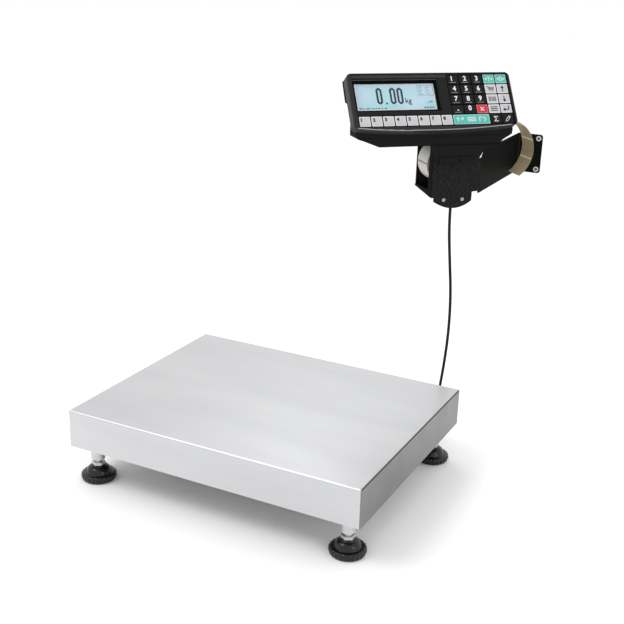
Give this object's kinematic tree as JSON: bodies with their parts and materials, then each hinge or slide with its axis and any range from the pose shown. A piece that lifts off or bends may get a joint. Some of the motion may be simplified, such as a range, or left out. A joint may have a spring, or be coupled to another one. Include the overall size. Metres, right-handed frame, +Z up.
{
  "type": "label printing scale",
  "caption": "Stainless bench weighing platform on screw feet, wired to a wall-bracket terminal with keypad, display, label roll and built-in label printer.",
  "frame": {"origin": "centre of the weighing face", "axes": "+Z up out of the weighing face, +X along the platform's long side, +Y towards the wall that holds the terminal's bracket"},
  "size_m": [0.5483, 0.7, 0.6397],
  "materials": {
    "platter_steel": "brushed lengthwise",
    "frame_steel": "mill finish",
    "cell_aluminium": "machined",
    "bolt_steel": "zinc plated",
    "buffer_rubber": "matt",
    "foot_plastic": "moulded",
    "gland_plastic": "moulded",
    "lead_jacket": "satin",
    "bracket_paint": "textured powder coat",
    "washer_nylon": "white",
    "screw_steel": "bright",
    "case_plastic": "satin moulded",
    "window_clear": "clear",
    "display_face": "backlit",
    "overlay_film": "printed film",
    "board_green": "solder mask",
    "paper_white": "paper",
    "key_pale": "satin film",
    "key_teal": "satin film",
    "key_red": "satin film",
    "key_grey": "satin film",
    "key_black": "satin film"
  },
  "bodies": {
    "base_and_terminal": {"base_frame": "frame_steel", "load_cell": "cell_aluminium", "load_cell_bolts": "bolt_steel", "cable_glands": "gland_plastic", "signal_cable": "lead_jacket", "wall_bracket": "bracket_paint", "wall_washers": "washer_nylon", "roll_box": "bracket_paint", "bracket_screws": "screw_steel", "front_bezel": "case_plastic", "rear_housing": "case_plastic", "printer_housing": "case_plastic", "display_window": "window_clear", "display_module": "display_face", "keypad_overlay": "overlay_film", "main_board": "board_green", "printer_frame": "frame_steel", "roll_spindle": "case_plastic", "label_strip": "paper_white"},
    "weighing": {"top_frame": "frame_steel", "corner_buffers": "buffer_rubber"},
    "platter": {"platter_cover": "platter_steel"},
    "print_head": {"print_head": "cell_aluminium"},
    "label_roll": {"label_roll": "paper_white"},
    "platen_roller": {"platen_roller": "buffer_rubber"},
    "foot_front_left": {"foot_front_left": "foot_plastic"},
    "foot_front_right": {"foot_front_right": "foot_plastic"},
    "foot_back_left": {"foot_back_left": "foot_plastic"},
    "foot_back_right": {"foot_back_right": "foot_plastic"},
    "key_f1": {"key_f1": "key_pale"},
    "key_f2": {"key_f2": "key_pale"},
    "key_f3": {"key_f3": "key_pale"},
    "key_f4": {"key_f4": "key_pale"},
    "key_f5": {"key_f5": "key_pale"},
    "key_f6": {"key_f6": "key_pale"},
    "key_f7": {"key_f7": "key_pale"},
    "key_f8": {"key_f8": "key_pale"},
    "key_menu": {"key_menu": "key_teal"},
    "key_sum": {"key_sum": "key_black"},
    "key_edit": {"key_edit": "key_black"},
    "key_1": {"key_1": "key_black"},
    "key_2": {"key_2": "key_black"},
    "key_3": {"key_3": "key_black"},
    "key_4": {"key_4": "key_black"},
    "key_5": {"key_5": "key_black"},
    "key_6": {"key_6": "key_black"},
    "key_7": {"key_7": "key_black"},
    "key_8": {"key_8": "key_black"},
    "key_9": {"key_9": "key_black"},
    "key_point": {"key_point": "key_black"},
    "key_0": {"key_0": "key_black"},
    "key_clear": {"key_clear": "key_red"},
    "key_feed": {"key_feed": "key_teal"},
    "key_tare": {"key_tare": "key_teal"},
    "key_cart": {"key_cart": "key_grey"},
    "key_up": {"key_up": "key_grey"},
    "key_code": {"key_code": "key_grey"},
    "key_down": {"key_down": "key_grey"},
    "key_lookup": {"key_lookup": "key_grey"},
    "key_enter": {"key_enter": "key_grey"}
  },
  "joints": [
    {"name": "weighing_travel", "type": "slide", "parent": "base_and_terminal", "child": "weighing", "axis": [0, 0, -1], "range_m": [0, 0.0005], "stiffness_N_per_m": 1200000, "springref_m": -0.00006, "deforming": ["load_cell"]},
    {"name": "platter_lift", "type": "slide", "parent": "weighing", "child": "platter", "axis": [0, 0, 1], "range_m": [0, 0.08]},
    {"name": "print_head_tilt", "type": "hinge", "parent": "base_and_terminal", "child": "print_head", "pos_m": [0.20373, 0.31331, 0.4546], "axis": [0.7071, -0.7071, 0], "range_deg": [0, 18], "stiffness_Nm_per_rad": 2, "springref_deg": -17.19},
    {"name": "label_roll_spin", "type": "hinge", "parent": "base_and_terminal", "child": "label_roll", "pos_m": [0.16519, 0.27477, 0.3676], "axis": [-0.7071, 0.7071, 0], "continuous": true},
    {"name": "platen_roller_spin", "type": "hinge", "parent": "base_and_terminal", "child": "platen_roller", "pos_m": [0.22777, 0.33735, 0.4281], "axis": [-0.7071, 0.7071, 0], "continuous": true},
    {"name": "foot_front_left_screw", "type": "slide", "parent": "base_and_terminal", "child": "foot_front_left", "axis": [0, 0, 1], "range_m": [-0.012, 0.004]},
    {"name": "foot_front_right_screw", "type": "slide", "parent": "base_and_terminal", "child": "foot_front_right", "axis": [0, 0, 1], "range_m": [-0.012, 0.004]},
    {"name": "foot_back_left_screw", "type": "slide", "parent": "base_and_terminal", "child": "foot_back_left", "axis": [0, 0, 1], "range_m": [-0.012, 0.004]},
    {"name": "foot_back_right_screw", "type": "slide", "parent": "base_and_terminal", "child": "foot_back_right", "axis": [0, 0, 1], "range_m": [-0.012, 0.004]},
    {"name": "key_f1_press", "type": "slide", "parent": "base_and_terminal", "child": "key_f1", "axis": [-0.5903, 0.5903, -0.5505], "range_m": [0, 0.0004], "stiffness_N_per_m": 5000},
    {"name": "key_f2_press", "type": "slide", "parent": "base_and_terminal", "child": "key_f2", "axis": [-0.5903, 0.5903, -0.5505], "range_m": [0, 0.0004], "stiffness_N_per_m": 5000},
    {"name": "key_f3_press", "type": "slide", "parent": "base_and_terminal", "child": "key_f3", "axis": [-0.5903, 0.5903, -0.5505], "range_m": [0, 0.0004], "stiffness_N_per_m": 5000},
    {"name": "key_f4_press", "type": "slide", "parent": "base_and_terminal", "child": "key_f4", "axis": [-0.5903, 0.5903, -0.5505], "range_m": [0, 0.0004], "stiffness_N_per_m": 5000},
    {"name": "key_f5_press", "type": "slide", "parent": "base_and_terminal", "child": "key_f5", "axis": [-0.5903, 0.5903, -0.5505], "range_m": [0, 0.0004], "stiffness_N_per_m": 5000},
    {"name": "key_f6_press", "type": "slide", "parent": "base_and_terminal", "child": "key_f6", "axis": [-0.5903, 0.5903, -0.5505], "range_m": [0, 0.0004], "stiffness_N_per_m": 5000},
    {"name": "key_f7_press", "type": "slide", "parent": "base_and_terminal", "child": "key_f7", "axis": [-0.5903, 0.5903, -0.5505], "range_m": [0, 0.0004], "stiffness_N_per_m": 5000},
    {"name": "key_f8_press", "type": "slide", "parent": "base_and_terminal", "child": "key_f8", "axis": [-0.5903, 0.5903, -0.5505], "range_m": [0, 0.0004], "stiffness_N_per_m": 5000},
    {"name": "key_menu_press", "type": "slide", "parent": "base_and_terminal", "child": "key_menu", "axis": [-0.5903, 0.5903, -0.5505], "range_m": [0, 0.0004], "stiffness_N_per_m": 5000},
    {"name": "key_sum_press", "type": "slide", "parent": "base_and_terminal", "child": "key_sum", "axis": [-0.5903, 0.5903, -0.5505], "range_m": [0, 0.0004], "stiffness_N_per_m": 5000},
    {"name": "key_edit_press", "type": "slide", "parent": "base_and_terminal", "child": "key_edit", "axis": [-0.5903, 0.5903, -0.5505], "range_m": [0, 0.0004], "stiffness_N_per_m": 5000},
    {"name": "key_1_press", "type": "slide", "parent": "base_and_terminal", "child": "key_1", "axis": [-0.5903, 0.5903, -0.5505], "range_m": [0, 0.0004], "stiffness_N_per_m": 5000},
    {"name": "key_2_press", "type": "slide", "parent": "base_and_terminal", "child": "key_2", "axis": [-0.5903, 0.5903, -0.5505], "range_m": [0, 0.0004], "stiffness_N_per_m": 5000},
    {"name": "key_3_press", "type": "slide", "parent": "base_and_terminal", "child": "key_3", "axis": [-0.5903, 0.5903, -0.5505], "range_m": [0, 0.0004], "stiffness_N_per_m": 5000},
    {"name": "key_4_press", "type": "slide", "parent": "base_and_terminal", "child": "key_4", "axis": [-0.5903, 0.5903, -0.5505], "range_m": [0, 0.0004], "stiffness_N_per_m": 5000},
    {"name": "key_5_press", "type": "slide", "parent": "base_and_terminal", "child": "key_5", "axis": [-0.5903, 0.5903, -0.5505], "range_m": [0, 0.0004], "stiffness_N_per_m": 5000},
    {"name": "key_6_press", "type": "slide", "parent": "base_and_terminal", "child": "key_6", "axis": [-0.5903, 0.5903, -0.5505], "range_m": [0, 0.0004], "stiffness_N_per_m": 5000},
    {"name": "key_7_press", "type": "slide", "parent": "base_and_terminal", "child": "key_7", "axis": [-0.5903, 0.5903, -0.5505], "range_m": [0, 0.0004], "stiffness_N_per_m": 5000},
    {"name": "key_8_press", "type": "slide", "parent": "base_and_terminal", "child": "key_8", "axis": [-0.5903, 0.5903, -0.5505], "range_m": [0, 0.0004], "stiffness_N_per_m": 5000},
    {"name": "key_9_press", "type": "slide", "parent": "base_and_terminal", "child": "key_9", "axis": [-0.5903, 0.5903, -0.5505], "range_m": [0, 0.0004], "stiffness_N_per_m": 5000},
    {"name": "key_point_press", "type": "slide", "parent": "base_and_terminal", "child": "key_point", "axis": [-0.5903, 0.5903, -0.5505], "range_m": [0, 0.0004], "stiffness_N_per_m": 5000},
    {"name": "key_0_press", "type": "slide", "parent": "base_and_terminal", "child": "key_0", "axis": [-0.5903, 0.5903, -0.5505], "range_m": [0, 0.0004], "stiffness_N_per_m": 5000},
    {"name": "key_clear_press", "type": "slide", "parent": "base_and_terminal", "child": "key_clear", "axis": [-0.5903, 0.5903, -0.5505], "range_m": [0, 0.0004], "stiffness_N_per_m": 5000},
    {"name": "key_feed_press", "type": "slide", "parent": "base_and_terminal", "child": "key_feed", "axis": [-0.5903, 0.5903, -0.5505], "range_m": [0, 0.0004], "stiffness_N_per_m": 5000},
    {"name": "key_tare_press", "type": "slide", "parent": "base_and_terminal", "child": "key_tare", "axis": [-0.5903, 0.5903, -0.5505], "range_m": [0, 0.0004], "stiffness_N_per_m": 5000},
    {"name": "key_cart_press", "type": "slide", "parent": "base_and_terminal", "child": "key_cart", "axis": [-0.5903, 0.5903, -0.5505], "range_m": [0, 0.0004], "stiffness_N_per_m": 5000},
    {"name": "key_up_press", "type": "slide", "parent": "base_and_terminal", "child": "key_up", "axis": [-0.5903, 0.5903, -0.5505], "range_m": [0, 0.0004], "stiffness_N_per_m": 5000},
    {"name": "key_code_press", "type": "slide", "parent": "base_and_terminal", "child": "key_code", "axis": [-0.5903, 0.5903, -0.5505], "range_m": [0, 0.0004], "stiffness_N_per_m": 5000},
    {"name": "key_down_press", "type": "slide", "parent": "base_and_terminal", "child": "key_down", "axis": [-0.5903, 0.5903, -0.5505], "range_m": [0, 0.0004], "stiffness_N_per_m": 5000},
    {"name": "key_lookup_press", "type": "slide", "parent": "base_and_terminal", "child": "key_lookup", "axis": [-0.5903, 0.5903, -0.5505], "range_m": [0, 0.0004], "stiffness_N_per_m": 5000},
    {"name": "key_enter_press", "type": "slide", "parent": "base_and_terminal", "child": "key_enter", "axis": [-0.5903, 0.5903, -0.5505], "range_m": [0, 0.0004], "stiffness_N_per_m": 5000}
  ],
  "couplings": [
    {"joint": "platen_roller_spin", "follows": "label_roll_spin", "ratio": 4.14}
  ]
}
